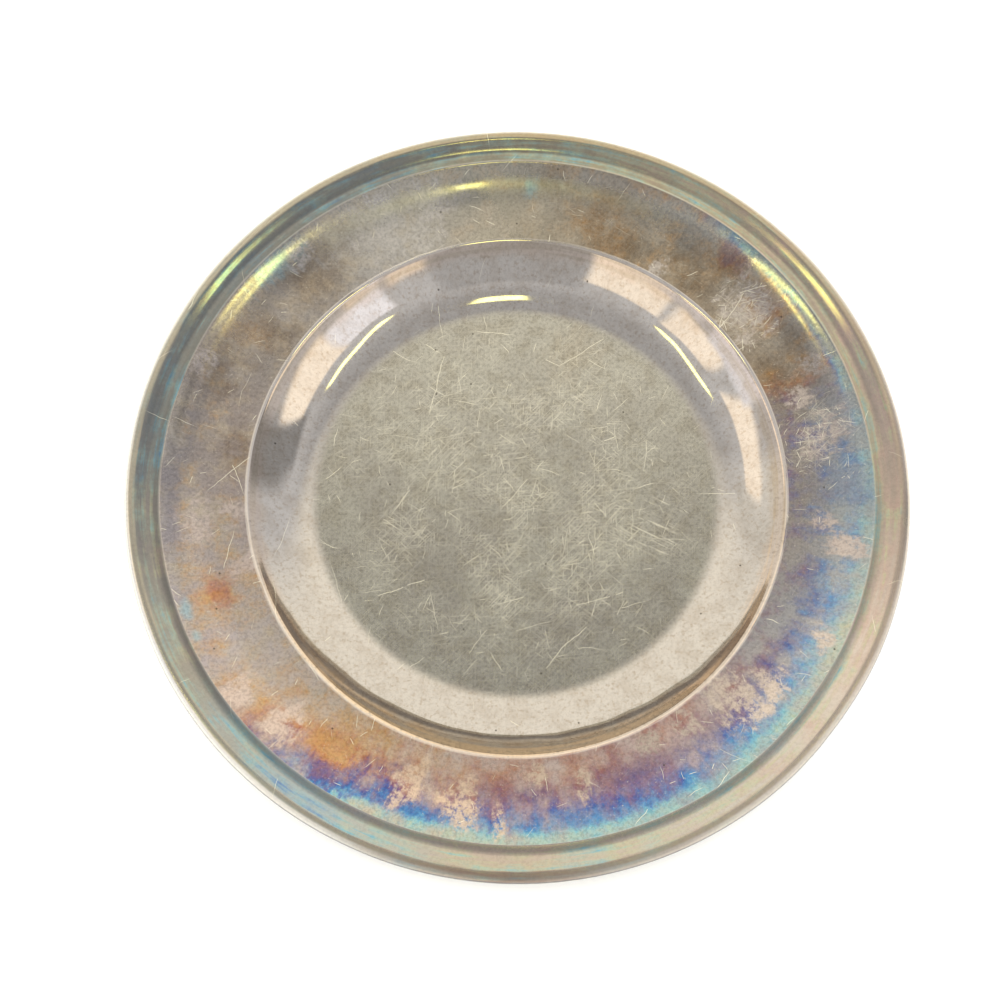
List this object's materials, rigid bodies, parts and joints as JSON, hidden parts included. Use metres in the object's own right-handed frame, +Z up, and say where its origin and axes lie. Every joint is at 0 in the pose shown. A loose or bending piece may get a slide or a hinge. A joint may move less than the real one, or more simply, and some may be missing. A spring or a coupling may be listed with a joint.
{
  "type": "paten plate",
  "caption": "Round silver-plated plate with a flat-bottomed well, a wide upswept flange and a moulded border with a rolled lip, for altar bread or serving.",
  "frame": {"origin": "centre of the flat underside that the plate rests on", "axes": "+Z up along the plate's axis of symmetry, out of the well; +X and +Y are any two square directions in the plane of rest, as the plate is round"},
  "size_m": [0.254, 0.254, 0.0223],
  "materials": {
    "silver_plate": "silver-plated, polished and worn to a satin floor, with rainbow tarnish and fine scratches",
    "edge_wire": "drawn wire, dull"
  },
  "bodies": {
    "root": {"plate_body": "silver_plate", "edge_wire": "edge_wire"}
  },
  "joints": []
}
